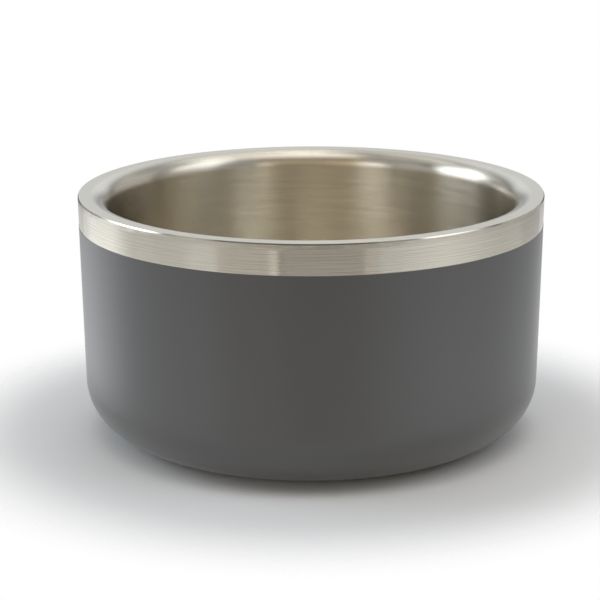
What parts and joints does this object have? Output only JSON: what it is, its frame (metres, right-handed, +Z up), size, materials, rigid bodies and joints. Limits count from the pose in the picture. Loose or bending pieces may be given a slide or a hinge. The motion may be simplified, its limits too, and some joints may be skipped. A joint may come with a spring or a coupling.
{
  "type": "insulated bowl",
  "caption": "Open double-wall steel bowl with a rolled lip, a bare band under a flat rim, a powder-coated outer wall and a rubber ring under its base.",
  "frame": {"origin": "centre of the base, on the surface that the rubber ring stands on", "axes": "+Z up along the bowl's axis; the bowl is turned about it, so X and Y are interchangeable"},
  "size_m": [0.2, 0.2, 0.105],
  "materials": {
    "brushed_steel": "stainless steel, brushed round the bowl",
    "satin_steel": "stainless steel, fine turned satin",
    "pressed_steel": "stainless steel, as rolled",
    "powder_coat": "fine-textured baked polymer powder coat, neutral grey",
    "foil": "bright foil",
    "getter": "pressed metal powder",
    "solder_glass": "opaque dark solder glass",
    "glue": "cured adhesive film",
    "ring_rubber": "matt moulded rubber"
  },
  "bodies": {
    "root": {"inner_bowl": "brushed_steel", "outer_shell": "satin_steel", "rim_weld": "satin_steel", "powder_coat": "powder_coat", "radiation_foil": "foil", "getter_holder": "pressed_steel", "getter_pellet": "getter", "seal_bead": "solder_glass", "base_disc": "pressed_steel", "disc_glue": "glue", "rubber_ring": "ring_rubber", "ring_glue": "glue"}
  },
  "joints": []
}
